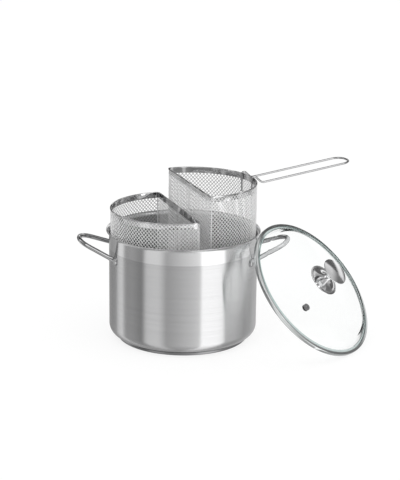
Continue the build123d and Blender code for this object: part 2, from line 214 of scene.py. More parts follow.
def tube_rings(path: Sequence[Vector], sections: Sequence[tuple[float, float]], normals: Sequence[Vector],
               sides: int) -> list[list[Vector]]:
    """Return the rings of points round a path.

    Args:
        path: The path's points.
        sections: At each point, the section's half size across the normal and along it.
        normals: At each point, a direction that the section's second axis follows.
        sides: How many points each ring has.

    Returns:
        One list of points for each point of the path.
    """
    rings = []
    angles = [math.tau * (k + 0.5) / sides for k in range(sides)]
    for i, place in enumerate(path):
        tangent = (path[min(i + 1, len(path) - 1)] - path[max(i - 1, 0)]).normalized()
        normal = (normals[i] - tangent * normals[i].dot(tangent)).normalized()
        across = tangent.cross(normal)
        wide, thick = sections[i]
        rings.append([place + across * (wide * math.cos(a)) + normal * (thick * math.sin(a)) for a in angles])
    return rings


class Skin:
    """A mesh in the making, drawn over rings of points."""

    def __init__(self) -> None:
        """Start without points or faces."""
        self.verts: list[Vector] = []
        self.faces: list[list[int]] = []

    def add(self, rings: Sequence[Sequence[Vector]], closed: bool = False) -> None:
        """Join rings of points into a tube.

        Args:
            rings: The rings, each with the same number of points.
            closed: True joins the last ring to the first one, False caps both ends.
        """
        start = len(self.verts)
        sides = len(rings[0])
        for ring in rings:
            self.verts.extend(ring)
        for i in range(len(rings) if closed else len(rings) - 1):
            low = start + i * sides
            high = start + (i + 1) % len(rings) * sides
            for k in range(sides):
                n = (k + 1) % sides
                self.faces.append([low + k, low + n, high + n, high + k])
        if not closed:
            last = start + (len(rings) - 1) * sides
            self.faces.append([start + k for k in reversed(range(sides))])
            self.faces.append([last + k for k in range(sides)])

    def finish(self, name: str, crease: float = CREASE) -> Piece:
        """Return the mesh as a named object whose edges are sharp past the crease angle, in degrees."""
        return make_object(name, self.verts, self.faces, crease)


def carried_normals(path: Sequence[Vector], first: Vector) -> list[Vector]:
    """Return normals that turn with a path but never twist about it.

    Args:
        path: The path's points.
        first: The normal at the first point.

    Returns:
        One normal for each point of the path.
    """
    normals = [first]
    for i in range(1, len(path)):
        tangent = (path[min(i + 1, len(path) - 1)] - path[i - 1]).normalized()
        normal = normals[-1] - tangent * normals[-1].dot(tangent)
        normals.append(normal.normalized())
    return normals


# Finishes


def node_tree(name: str) -> tuple[bpy.types.Material, Tree, Node]:
    """Make a material with a plain Principled shader.

    Args:
        name: The material's name.

    Returns:
        The material, its node tree and its Principled node.
    """
    material = bpy.data.materials.new(name)
    material.use_nodes = True
    return material, material.node_tree, material.node_tree.nodes["Principled BSDF"]


def add_node(tree: Tree, kind: str, **values: object) -> Node:
    """Add a shader node and set its sockets and properties.

    Args:
        tree: The tree that gets the node.
        kind: The node's type, without its ShaderNode prefix.
        **values: Properties of the node, or values of its input sockets by their name in small letters.

    Returns:
        The new node.
    """
    node = tree.nodes.new("ShaderNode" + kind)
    sockets = {s.name.lower().replace(" ", "_"): s for s in node.inputs}
    for key, value in values.items():
        if key in sockets:
            sockets[key].default_value = value
        else:
            setattr(node, key, value)
    return node


def join(tree: Tree, source: Node, output: str, target: Node, entry: str | int) -> None:
    """Link an output of one node to an input of another.

    Args:
        tree: The tree that both nodes are in.
        source: The node that gives the value.
        output: The name of its output.
        target: The node that takes the value.
        entry: The name or number of its input.
    """
    tree.links.new(source.outputs[output], target.inputs[entry])


def ranged(tree: Tree, source: Node, output: str, low: float, high: float) -> Node:
    """Map an output's values onto the span from zero to one.

    Args:
        tree: The tree that both nodes are in.
        source: The node that gives the value.
        output: The name of its output.
        low: The value that becomes zero.
        high: The value that becomes one.

    Returns:
        The node whose Result is the mapped value.
    """
    node = add_node(tree, "MapRange")
    node.inputs["From Min"].default_value = low
    node.inputs["From Max"].default_value = high
    join(tree, source, output, node, "Value")
    return node


def ramped(tree: Tree, share: Node, stops: Ring) -> Node:
    """Turn a share into a grey by a ramp.

    Args:
        tree: The tree that gets the ramp.
        share: The node whose Result is the share.
        stops: Pairs of position, from zero to one in rising order, and brightness.

    Returns:
        The ramp's node.
    """
    node = add_node(tree, "ValToRGB")
    elements = node.color_ramp.elements
    first, *middle, last = stops
    for element, (position, level) in zip(elements, (first, last)):
        element.position = position
        element.color = (level, level, level, 1.0)
    for position, level in middle:
        elements.new(position).color = (level, level, level, 1.0)
    join(tree, share, "Result", node, "Fac")
    return node


def blended(tree: Tree, kind: str, first: Node, second: Node) -> Node:
    """Blend two colours in full.

    Args:
        tree: The tree that gets the blend.
        kind: The way that the colours blend.
        first: The node of the lower colour.
        second: The node of the upper colour.

    Returns:
        The node that blends them.
    """
    node = add_node(tree, "Mix", data_type="RGBA", blend_type=kind)
    node.inputs["Factor"].default_value = 1.0
    for source, entry in ((first, "A"), (second, "B")):
        output = "Result" if source.bl_idname == "ShaderNodeMix" else "Color"
        join(tree, source, output, node, entry)
    return node


def seen_rays(tree: Tree) -> tuple[Node, Node]:
    """Tell the rays that look at a thing from those that light it or mirror it.

    Args:
        tree: The tree that gets the nodes.

    Returns:
        The light path node, and a node whose Value is one for camera and transmission rays.
    """
    path = add_node(tree, "LightPath")
    seen = add_node(tree, "Math", operation="MAXIMUM")
    join(tree, path, "Is Camera Ray", seen, 0)
    join(tree, path, "Is Transmission Ray", seen, 1)
    return path, seen


@dataclass(frozen=True)
class Steel:
    """Stainless steel with fine lines, slight tone changes and a chosen gloss."""

    name: str
    tone: tuple[float, float, float] = (0.70, 0.70, 0.71)
    roughness: float = 0.2
    anisotropy: float = 0.0
    line_scale: tuple[float, float, float] = (60.0, 60.0, 60.0)
    tone_change: float = 0.05
    bump: float = 0.05
    bump_distance: float = 0.00002
    around_axis: bool = False
    metallic: float = 1.0
    detail: float = 4.0
    line_roughness: float = 0.6
    line_span: tuple[float, float] = (0.3, 0.7)

    def make(self) -> bpy.types.Material:
        """Build the finish.

        Returns:
            The material.
        """
        material, tree, shader = node_tree(self.name)
        place = add_node(tree, "TexCoord")
        mapping = add_node(tree, "Mapping")
        mapping.inputs["Scale"].default_value = self.line_scale
        join(tree, place, "Object", mapping, "Vector")
        lines = add_node(tree, "TexNoise", scale=1.0, detail=self.detail,
                         roughness=self.line_roughness)
        join(tree, mapping, "Vector", lines, "Vector")
        ramp = add_node(tree, "ValToRGB")
        for element, position, share in zip(ramp.color_ramp.elements, self.line_span,
                                            (1 - self.tone_change, 1 + self.tone_change)):
            element.position = position
            element.color = (*(min(c * share, 1.0) for c in self.tone), 1.0)
        join(tree, lines, "Fac", ramp, "Fac")
        join(tree, ramp, "Color", shader, "Base Color")
        bump = add_node(tree, "Bump", strength=self.bump, distance=self.bump_distance)
        join(tree, lines, "Fac", bump, "Height")
        join(tree, bump, "Normal", shader, "Normal")
        if self.around_axis:
            tangent = add_node(tree, "Tangent", direction_type="RADIAL", axis="Z")
            join(tree, tangent, "Tangent", shader, "Tangent")
        shader.inputs["Metallic"].default_value = self.metallic
        shader.inputs["Roughness"].default_value = self.roughness
        shader.inputs["Anisotropic"].default_value = self.anisotropy
        shader.inputs["Anisotropic Rotation"].default_value = QUARTER_TURN if self.around_axis else 0.0
        return material


@dataclass(frozen=True)
class Glass:
    """Clear tempered glass with a slight tint, faint waviness and little bending of what lies behind."""

    name: str
    tint: tuple[float, float, float] = (0.995, 1.0, 0.998)
    roughness: float = 0.0
    wave_scale: float = 18.0
    wave_strength: float = 0.15
    wave_distance: float = 0.00004
    index: float = 1.1
    depth_tint: tuple[float, float, float] = (0.50, 0.66, 0.64)
    density: float = 4.0

    def make(self) -> bpy.types.Material:
        """Build the finish.

        Returns:
            The material.
        """
        material, tree, shader = node_tree(self.name)
        place = add_node(tree, "TexCoord")
        waves = add_node(tree, "TexNoise", scale=self.wave_scale, detail=1.0)
        join(tree, place, "Object", waves, "Vector")
        bump = add_node(tree, "Bump", strength=self.wave_strength, distance=self.wave_distance)
        join(tree, waves, "Fac", bump, "Height")
        join(tree, bump, "Normal", shader, "Normal")
        shader.inputs["Base Color"].default_value = (*self.tint, 1.0)
        shader.inputs["Roughness"].default_value = self.roughness
        shader.inputs["Transmission Weight"].default_value = 1.0
        shader.inputs["IOR"].default_value = self.index
        depth = add_node(tree, "VolumeAbsorption", color=(*self.depth_tint, 1.0), density=self.density)
        join(tree, depth, "Volume", tree.nodes["Material Output"], "Volume")
        return material


class Finishes:
    """Every material of the pot, made once and shared."""

    def __init__(self) -> None:
        """Make the materials."""
        brushed = (3.0, 3.0, 2600.0)
        wavy = (35.0, 35.0, 35.0)
        close = (90.0, 90.0, 90.0)
        self.satin = Steel("satin_body", (0.66, 0.66, 0.665), 0.23, 1.0, brushed, 0.08, 0.4,
                           around_axis=True).make()
        self.band = Steel("polished_band", (0.75, 0.75, 0.755), 0.20, 0.95, brushed, 0.02, 0.05,
                          around_axis=True).make()
        # The inside steel is a darker copy of the body's satin: painted shade inside the pot.
        self.inside = Steel("satin_inside", (0.34, 0.34, 0.345), 0.33, 0.8, brushed, 0.05, 0.1,
                            around_axis=True).make()
        self.rod = Steel("handle_rod_steel", (0.55, 0.55, 0.555), 0.07, line_scale=wavy, tone_change=0.1,
                         bump=0.3, bump_distance=0.0015, detail=0.0).make()
        self.strip = Steel("rim_strip_steel", (0.72, 0.72, 0.725), 0.1, line_scale=wavy, tone_change=0.1,
                           bump=1.0, bump_distance=0.012, detail=0.0).make()
        self.wire = Steel("bright_wire", (0.52, 0.52, 0.525), 0.10).make()
        # The corner wires are real, but their near-white, mostly non-metal finish is a painted highlight
        # along the insert's corners.
        self.post = Steel("corner_wire_steel", (0.90, 0.90, 0.905), 0.4, metallic=0.3).make()
        self.fitting = Steel("vent_and_screw_steel", (0.30, 0.30, 0.305), 0.25).make()
        self.ring = Steel("lid_ring_steel", (0.78, 0.80, 0.80), 0.07).make()
        self.knob = Steel("knob_steel", (0.86, 0.86, 0.865), 0.10).make()
        # Bright and dark copies of one wire finish: the bright one is painted light on the sides that face
        # out of an insert, the dark one painted shade on the sides that face in.
        self.weave = Steel("mesh_wire", (1.0, 1.0, 1.0), 0.3, line_scale=close, tone_change=0.04,
                           metallic=0.45).make()
        self.weave_inside = Steel("mesh_wire_inside", (0.58, 0.58, 0.585), 0.3, line_scale=close,
                                  tone_change=0.04, metallic=0.8).make()
        # The base cap's steel is darkened: painted shade under the pot.
        self.base = Steel("base_cap_steel", (0.30, 0.30, 0.305), 0.3, 0.6, brushed, 0.04, 0.05,
                          around_axis=True).make()
        self.core = Steel("base_aluminium", (0.14, 0.14, 0.145), 0.6).make()
        self.glass = Glass("clear_glass").make()
        self.glass_edge = Glass("glass_edge", (0.58, 0.65, 0.64), 0.12, index=1.45).make()


def dress(obj: Piece, *materials: bpy.types.Material) -> None:
    """Give an object its materials, in place of any that it had.

    Args:
        obj: The object.
        *materials: Its new materials, in order.
    """
    obj.data.materials.clear()
    for material in materials:
        obj.data.materials.append(material)


def place_piece(obj: Piece, body: str, nodes: Sequence[str]) -> None:
    """Let a piece ride on its body and stand for its nodes.

    Args:
        obj: The piece.
        body: The body that it moves with.
        nodes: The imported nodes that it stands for.
    """
    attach(obj, body)
    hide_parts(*nodes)
    LOG.info("%s rides on %s, %d vertices", obj.name, body, len(obj.data.vertices))


# Sub-assemblies


@dataclass
class Pot:
    """The drawn pot with its sandwich base and rod handles."""

    finishes: Finishes
    inner_radius: float = 0.120
    wall: float = 0.0008
    height: float = 0.180
    corner_radius: float = 0.016
    flare_radius: float = 0.006
    flare_angle: float = 75.0
    band_height: float = 0.0205
    base_height: float = 0.006
    base_radius: float = 0.107
    cap_wall: float = 0.0006
    cap_height: float = 0.005
    cap_corner: float = 0.0022
    segments: int = 256
    wall_steps: int = 8
    bend_steps: int = 20
    inner_bend_steps: int = 16
    flare_steps: int = 14
    lip_steps: int = 8
    cap_steps: int = 10
    cap_inner_steps: int = 8
    body: str = "pot"

    @property
    def outer_radius(self) -> float:
        """Radius of the outside of the wall."""
        return self.inner_radius + self.wall

    def shell(self) -> None:
        """Build the drawn shell: outside wall, flared rim and inside."""
        outer = self.outer_radius
        bend_x = outer - self.corner_radius
        bend_z = self.base_height + self.corner_radius
        flare_out = self.flare_radius + self.wall
        flare_z = self.height - flare_out * math.sin(math.radians(self.flare_angle))
        flare_x = outer + self.flare_radius
        floor_z = self.base_height + self.wall
        band_z = flare_z - self.band_height
        end = 180 - self.flare_angle
        lip = self.wall / 2
        lip_x = flare_x + (self.flare_radius + lip) * math.cos(math.radians(end))
        lip_z = flare_z + (self.flare_radius + lip) * math.sin(math.radians(end))
        outside: Ring = [(0, self.base_height), (bend_x / 2, self.base_height)]
        outside += arc((bend_x, bend_z), self.corner_radius, -90, 0, self.bend_steps)
        steps = self.wall_steps
        outside += [(outer, bend_z + (band_z - bend_z) * (i + 1) / steps) for i in range(steps)]
        outside += arc((flare_x, flare_z), self.flare_radius, 180, end, self.flare_steps)
        edge = arc((lip_x, lip_z), lip, end - 180, end, self.lip_steps)[1:-1]
        inside = arc((flare_x, flare_z), flare_out, end, 180, self.flare_steps)
        inside += arc((bend_x, bend_z), self.corner_radius - self.wall, 0, -90, self.inner_bend_steps)
        inside += [(bend_x / 2, floor_z), (0, floor_z)]
        shell = revolve("pot_body", outside + edge + inside, self.segments)
        dress(shell, self.finishes.satin, self.finishes.band, self.finishes.inside)
        for face in shell.data.polygons:
            centre = face.center
            radius = math.hypot(centre.x, centre.y)
            to_axis = face.normal.x * centre.x + face.normal.y * centre.y < 0
            on_floor = centre.z < bend_z and face.normal.z > 0
            if centre.z > band_z:
                face.material_index = 1
            # Inside wall and floor faces get the darker steel: painted shade inside the pot.
            if (to_axis or on_floor) and radius < outer and centre.z < flare_z:
                face.material_index = 2
        place_piece(shell, self.body, ["pot_shell"])

    def base(self) -> None:
        """Build the steel cap under the pot and dress the disc that it holds."""
        bend = (self.base_radius - self.cap_corner, self.cap_corner)
        half_wall = self.cap_wall / 2
        shoulder = self.cap_height - half_wall
        profile: Ring = [(0, 0)] + arc(bend, self.cap_corner, -90, 0, self.cap_steps)
        profile += [(self.base_radius, shoulder), (self.base_radius - half_wall, self.cap_height)]
        profile += [(self.base_radius - self.cap_wall, shoulder)]
        profile += arc(bend, self.cap_corner - self.cap_wall, 0, -90, self.cap_inner_steps)
        profile += [(0, self.cap_wall)]
        cap = revolve("base_shell", profile, self.segments)
        # The cap's dark steel is painted shade under the pot.
        dress(cap, self.finishes.base)
        place_piece(cap, self.body, ["base_cap"])
        dress(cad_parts["base_core"], self.finishes.core)

    def build(self) -> None:
        """Build every piece of the pot."""
        self.shell()
        self.base()
        for side in Side:
            RodHandle(self, side).build()


@dataclass
class RodHandle:
    """A rod bent outward in a rising plane, with flattened feet welded to the wall.

    Each layer of a foot has its share of the foot's outline and of its thickness.
    """

    pot: Pot
    side: Side
    rod: float = 0.0074
    pitch: float = 22.2
    root_reach: float = 0.113
    root_height: float = 0.1413
    root_half_span: float = 0.0486
    tip_reach: float = 0.16937
    end_radius: float = 0.0336
    foot_azimuth: float = 24.6
    foot_length: float = 0.016
    foot_height: float = 0.0125
    foot_thickness: float = 0.003
    foot_corner: float = 0.0045
    flat_run: float = 0.016
    flat_share: float = 0.6
    flat_spread: float = 0.35
    leg_steps: int = 24
    bow_steps: int = 48
    sides: int = 24
    foot_corner_steps: int = 6
    foot_layers: Pairs = ((1.0, 0.0), (1.0, 0.45), (0.97, 0.75), (0.90, 0.93), (0.78, 1.0), (0.4, 1.04),
                          (0.02, 1.05))

    def route(self) -> list[Vector]:
        """Work out the rod's centre line.

        Returns:
            Its points from the rear foot to the front one.
        """
        pitch = math.radians(self.pitch)
        tip = (self.tip_reach - self.root_reach) / math.cos(pitch)
        bow_x = tip - self.end_radius
        half = self.root_half_span
        bow_angle = math.atan2(half, -bow_x) - math.acos(self.end_radius / math.hypot(bow_x, half))
        leg_x = bow_x + self.end_radius * math.cos(bow_angle)
        leg_y = self.end_radius * math.sin(bow_angle)
        turn = math.atan2(half - leg_y, -leg_x)
        root = (self.rod * math.cos(turn), half + self.rod * math.sin(turn))
        steps = self.leg_steps
        flat: Ring = [(root[0] + (leg_x - root[0]) * i / steps, root[1] + (leg_y - root[1]) * i / steps)
                      for i in range(steps)]
        half_bow = math.degrees(bow_angle)
        flat += arc((bow_x, 0), self.end_radius, half_bow, -half_bow, self.bow_steps)
        flat += [(x, -y) for x, y in reversed(flat[:steps])]
        sign, out, up = self.side.value, math.cos(pitch), math.sin(pitch)
        return [Vector((sign * (self.root_reach + x * out), y, self.root_height + x * up)) for x, y in flat]

    def foot(self, end: int, height: float, skin: Skin) -> None:
        """Add one flattened foot that follows the wall to a mesh in the making.

        Args:
            end: Minus one for the front foot, one for the rear one.
            height: The height of the foot's middle.
            skin: The handle's mesh, which grows.
        """
        half_l, half_h, corner = self.foot_length / 2, self.foot_height / 2, self.foot_corner
        outline: Ring = []
        for sx, sy, start in ((1, 1, 0), (-1, 1, 90), (-1, -1, 180), (1, -1, 270)):
            outline += arc((sx * (half_l - corner), sy * (half_h - corner)), corner, start, start + 90,
                           self.foot_corner_steps)
        middle = math.radians(self.foot_azimuth)
        rings = []
        for share, rise in self.foot_layers:
            ring = []
            for s, z in outline:
                radius = self.pot.outer_radius + self.foot_thickness * rise
                turn = middle + s * share / self.pot.outer_radius
                ring.append(Vector((self.side.value * radius * math.cos(turn), end * radius * math.sin(turn),
                                    height + z * share)))
            rings.append(ring)
        skin.add(rings)

    def build(self) -> None:
        """Build the handle with its feet as one piece."""
        path = self.route()
        pitch = math.radians(self.pitch)
        up = Vector((-self.side.value * math.sin(pitch), 0, math.cos(pitch)))
        sections = []
        for i, place in enumerate(path):
            run = min((place - path[0]).length, (place - path[-1]).length)
            share = max(0.0, 1 - run / self.flat_run)
            ease = share * share * (3 - 2 * share)
            thin = 1 - (1 - self.flat_share) * ease
            wide = 1 + self.flat_spread * ease
            sections.append((self.rod / 2 * thin, self.rod / 2 * wide))
        skin = Skin()
        skin.add(tube_rings(path, sections, [up] * len(path), self.sides))
        for end in (-1, 1):
            self.foot(end, path[0].z, skin)
        handle = skin.finish(f"{self.side.word}_rod_handle")
        dress(handle, self.pot.finishes.rod)
        place_piece(handle, self.pot.body, [f"{self.side.word}_handle"])


@dataclass
class HalfRound:
    """The half-round outline of an insert, in a frame whose x axis runs from the flat to the round wall."""

    radius: float = 0.1035
    centre: float = 0.0156
    flat: float = 0.0076
    corner: float = 0.006
    round_step: float = 0.003
    corner_steps: int = 10
    half_flat_steps: int = 2

    def __post_init__(self) -> None:
        """Work out the corner arcs and the outline's length."""
        self.bend_x = self.flat + self.corner
        self.bend_y = math.sqrt((self.radius - self.corner) ** 2 - (self.centre - self.bend_x) ** 2)
        self.half_turn = math.atan2(self.bend_y, self.bend_x - self.centre)
        self.arc_run = 2 * self.half_turn * self.radius
        self.corner_run = (math.pi - self.half_turn) * self.corner
        self.flat_run = 2 * self.bend_y
        self.length = self.arc_run + 2 * self.corner_run + self.flat_run

    @staticmethod
    def on_arc(centre: tuple[float, float], radius: float, turn: float) -> tuple[Vector, Vector]:
        """Return an arc's point and outward direction at a turn, in radians."""
        way = Vector((math.cos(turn), math.sin(turn)))
        return Vector(centre) + way * radius, way

    def at(self, run: float) -> tuple[Vector, Vector]:
        """Return the outline's point and outward direction at a run along it.

        Args:
            run: The distance along the outline from the middle of the flat wall, which starts
                towards minus y. It may be any number.

        Returns:
            The point and the unit normal, both in two dimensions.
        """
        run = run % self.length
        half_flat = self.flat_run / 2
        if run < half_flat:
            return Vector((self.flat, -run)), Vector((-1, 0))
        run -= half_flat
        if run < self.corner_run:
            return self.on_arc((self.bend_x, -self.bend_y), self.corner, math.pi + run / self.corner)
        run -= self.corner_run
        if run < self.arc_run:
            return self.on_arc((self.centre, 0), self.radius, run / self.radius - self.half_turn)
        run -= self.arc_run
        if run < self.corner_run:
            return self.on_arc((self.bend_x, self.bend_y), self.corner, self.half_turn + run / self.corner)
        run -= self.corner_run
        return Vector((self.flat, half_flat - run)), Vector((-1, 0))

    def runs(self) -> list[float]:
        """Divide the outline, most closely on its corners.

        Returns:
            Runs round the whole outline, from zero to just under its length.
        """
        flat = (self.flat_run / 2, self.half_flat_steps)
        corner = (self.corner_run, self.corner_steps)
        spans = [flat, corner, (self.arc_run, int(self.arc_run / self.round_step)), corner, flat]
        marks: list[float] = []
        start = 0.0
        for length, count in spans:
            marks += [start + length * i / count for i in range(count)]
            start += length
        return marks

    def chord(self, direction: Vector, offset: float, inset: float) -> tuple[float, float] | None:
        """Return where a straight line crosses the outline.

        Args:
            direction: The line's unit direction.
            offset: Its distance from the frame's origin, to the left of the direction.
            inset: How far inside the outline the line ends.

        Returns:
            The line's first and last distance along direction, or None if it misses.
        """
        left = Vector((-direction.y, direction.x))
        start = left * offset
        to_centre = Vector((self.centre, 0)) - start
        along = to_centre.dot(direction)
        reach = (self.radius - inset) ** 2 - (to_centre.length_squared - along * along)
        if reach <= 0:
            return None
        low, high = along - math.sqrt(reach), along + math.sqrt(reach)
        if abs(direction.x) > NO_TURN:
            cross = (self.flat + inset - start.x) / direction.x
            low, high = (max(low, cross), high) if direction.x > 0 else (low, min(high, cross))
        return (low, high) if high - low > inset else None


@dataclass(frozen=True)
class Stretch:
    """A woven stretch of an insert's wall.

    It reaches from a low to a high level over the insert's floor and from a first to a last run along
    the outline. Its middle lies inset from the outline, and its columns of wires are a pitch apart.
    """

    low: float
    high: float
    first: float
    last: float
    inset: float
    columns: int
    pitch: float


@dataclass
class Insert:
    """A half-round strainer: woven walls and floor, rim strip, hoop, corner wires and seam.

    The sides of a woven wire are numbered round it. Those of wall_inner and floor_inner face into the
    insert and get the wires' painted shade. The seam's middle lies seam_layer sheets inside the outline.
    """

    finishes: Finishes
    side: Side
    rim_height: float
    turn: float = 19.5
    height: float = 0.160
    sheet: float = 0.0009
    strip: float = 0.0006
    strip_height: float = 0.010
    lip_shown: float = 0.0018
    hoop_wire: float = 0.0024
    corner_wire: float = 0.002
    wire: float = 0.0011
    wire_flat: float = 0.0008
    wire_sides: int = 6
    wall_inner: tuple[int, int] = (3, 4)
    floor_inner: tuple[int, int] = (0, 1)
    weave_crease: float = 75.0
    pitch_round: float = 0.0060
    pitch_up: float = 0.0064
    seam_width: float = 0.006
    seam_layer: float = 1.5
    fold_steps: int = 12
    fold_inner_steps: int = 8
    hoop_sides: int = 16
    post_steps: int = 8
    post_sides: int = 12
    gap: float = 0.00005

    def __post_init__(self) -> None:
        """Work out where the insert stands."""
        self.outline = HalfRound()
        turn = math.radians(self.turn + (180 if self.side is Side.LEFT else 0))
        floor_height = self.rim_height - self.height
        self.placement = Matrix.Translation((0, 0, floor_height)) @ Matrix.Rotation(turn, 4, "Z")
        self.body = f"{self.side.word}_insert"
        self.weave_rise = self.wire_flat / 3

    def on_sheet(self, run: float, level: float, inset: float) -> tuple[Vector, Vector]:
        """Return a place on the wall and its outward normal, both in the model's frame.

        Args:
            run: The run along the outline.
            level: The height over the insert's floor.
            inset: The distance inside the outline.

        Returns:
            The point and the unit normal.
        """
        point, way = self.outline.at(run)
        point = point - way * inset
        place = self.placement @ Vector((point.x, point.y, level))
        return place, self.placement.to_3x3() @ Vector((way.x, way.y, 0))

    def weave(self, part: Stretch, skin: Skin) -> None:
        """Add the slanted wires of a woven stretch to a mesh in the making.

        Args:
            part: The stretch.
            skin: The mesh, which grows.
        """
        whole = part.last - part.first > self.outline.length - part.pitch / 2
        half_cell = self.pitch_up / 2
        steps = int((part.high - part.low) / half_cell)
        reach = 0 if whole else steps // 2 + 1
        section = (self.wire / 2, self.wire_flat / 2)
        for slant, column in product((-1, 1), range(-reach, part.columns + reach)):
            path, normals = [], []
            for step in range(steps + 1):
                run = part.first + (column + slant * step / 2) * part.pitch
                if not whole and not part.first <= run <= part.last:
                    continue
                over = self.weave_rise * (1 if step % 2 == 0 else -1) * slant
                place, way = self.on_sheet(run, part.low + step * half_cell, part.inset - over)
                path.append(place)
                normals.append(way)
            if len(path) > 1:
                skin.add(tube_rings(path, [section] * len(path), normals, self.wire_sides))

    def dress_weave(self, piece: Piece, inner_sides: tuple[int, ...]) -> None:
        """Give woven wires a bright lit copy of their finish on the sides that face out, and a darker shaded
        copy where they face into the insert: painted light and painted shade.

        Args:
            piece: The woven piece.
            inner_sides: The numbers of the wires' sides that face inward.
        """
        # Inward wire sides get the darker copy: painted shade inside the insert.
        dress(piece, self.finishes.weave, self.finishes.weave_inside)
        for face in piece.data.polygons:
            if len(face.vertices) == 4 and face.vertices[0] % self.wire_sides in inner_sides:
                face.material_index = 1

    def walls(self) -> None:
        """Weave the round and flat walls from slanted wires."""
        length = self.outline.length
        columns = round(length / self.pitch_round)
        skin = Skin()
        self.weave(Stretch(self.sheet, self.height - self.strip, 0, length, self.sheet / 2, columns,
                           length / columns), skin)
        wall = skin.finish(f"{self.side.word}_woven_wall", self.weave_crease)
        self.dress_weave(wall, self.wall_inner)
        names = [f"{self.side.word}_curved_mesh", f"{self.side.word}_flat_mesh"]
        place_piece(wall, self.body, names)

    def seam(self) -> None:
        """Weave the overlap of the mesh's two ends, inside the flat wall."""
        columns = round(self.seam_width / self.pitch_round) + 1
        first = self.outline.length - self.seam_width / 2
        skin = Skin()
        self.weave(Stretch(self.sheet + self.hoop_wire, self.height - self.strip_height, first,
                           first + self.seam_width, self.sheet * self.seam_layer, columns,
                           self.pitch_round / 2), skin)
        seam = skin.finish(f"{self.side.word}_woven_seam", self.weave_crease)
        self.dress_weave(seam, self.wall_inner)
        place_piece(seam, self.body, [f"{self.side.word}_mesh_seam"])

    def floor(self) -> None:
        """Weave the floor from straight wires cut to the outline."""
        skin = Skin()
        lean = math.atan2(self.pitch_up, self.pitch_round)
        spacing = self.pitch_round * math.sin(lean)
        half_cell = math.hypot(self.pitch_round, self.pitch_up) / 2
        count = int(2 * self.outline.radius / spacing)
        section = (self.wire / 2, self.wire_flat / 2)
        up = Vector((0, 0, 1))
        for slant in (-1, 1):
            way = Vector((math.cos(lean), slant * math.sin(lean)))
            left = Vector((-way.y, way.x))
            for row in range(-count, count + 1):
                ends = self.outline.chord(way, row * spacing, self.sheet)
                if ends is None:
                    continue
                steps = max(2, int((ends[1] - ends[0]) / half_cell))
                path = []
                for step in range(steps + 1):
                    along = ends[0] + (ends[1] - ends[0]) * step / steps
                    over = self.weave_rise * (1 if (step + row) % 2 == 0 else -1) * slant
                    point = left * (row * spacing) + way * along
                    path.append(self.placement @ Vector((point.x, point.y, self.sheet / 2 + over)))
                skin.add(tube_rings(path, [section] * len(path), [up] * len(path), self.wire_sides))
        floor = skin.finish(f"{self.side.word}_woven_floor", self.weave_crease)
        self.dress_weave(floor, self.floor_inner)
        place_piece(floor, self.body, [f"{self.side.word}_floor_mesh"])

    def swept(self, name: str, profile: Ring) -> Piece:
        """Sweep a closed profile round the outline.

        Args:
            name: The new object's name.
            profile: Pairs of inset and level, in order round the profile.

        Returns:
            The new object.
        """
        skin = Skin()
        skin.add([[self.on_sheet(run, level, inset)[0] for inset, level in profile]
                  for run in self.outline.runs()], closed=True)
        return skin.finish(name)

    def rim(self) -> None:
        """Build the steel strip folded over the mesh's top edge."""
        top, thick = self.height, self.strip
        inner = self.sheet + thick
        middle = (inner - thick) / 2
        outer_round = (inner + thick) / 2
        profile: Ring = [(inner, top - self.strip_height)]
        profile += arc((middle, top - outer_round), outer_round, 0, 180, self.fold_steps)
        profile += [(-thick, top - self.lip_shown), (0, top - self.lip_shown)]
        profile += arc((middle, top - outer_round), outer_round - thick, 180, 0, self.fold_inner_steps)
        profile += [(self.sheet, top - self.strip_height)]
        strip = self.swept(f"{self.side.word}_rim_fold", profile)
        dress(strip, self.finishes.strip)
        place_piece(strip, self.body, [f"{self.side.word}_rim_strip"])

    def wires(self) -> None:
        """Build the bottom hoop and the two corner wires."""
        radius = self.hoop_wire / 2
        level = self.sheet + self.gap + radius
        section = arc((level, level), radius, 0, 360 - 360 / self.hoop_sides, self.hoop_sides - 1)
        hoop = self.swept(f"{self.side.word}_hoop", section)
        dress(hoop, self.finishes.wire)
        place_piece(hoop, self.body, [f"{self.side.word}_bottom_hoop"])
        skin = Skin()
        size = self.corner_wire / 2
        half_corner = self.outline.flat_run / 2 + self.outline.corner_run / 2
        for run in (half_corner, self.outline.length - half_corner):
            inset = self.sheet + self.gap + size
            ends = (self.sheet + 2 * self.gap + self.hoop_wire, self.height - self.strip_height - self.gap)
            levels = [ends[0] + (ends[1] - ends[0]) * i / self.post_steps for i in range(self.post_steps + 1)]
            path = [self.on_sheet(run, level, inset)[0] for level in levels]
            across = self.on_sheet(run, 0, 0)[1]
            skin.add(tube_rings(path, [(size, size)] * len(path), [across] * len(path), self.post_sides))
        posts = skin.finish(f"{self.side.word}_corner_posts")
        # The corner wires' near-white finish is a painted highlight along the corners.
        dress(posts, self.finishes.post)
        place_piece(posts, self.body, [f"{self.side.word}_corner_wires"])

    def build(self) -> None:
        """Build every piece of the insert."""
        self.walls()
        self.seam()
        self.floor()
        self.rim()
        self.wires()


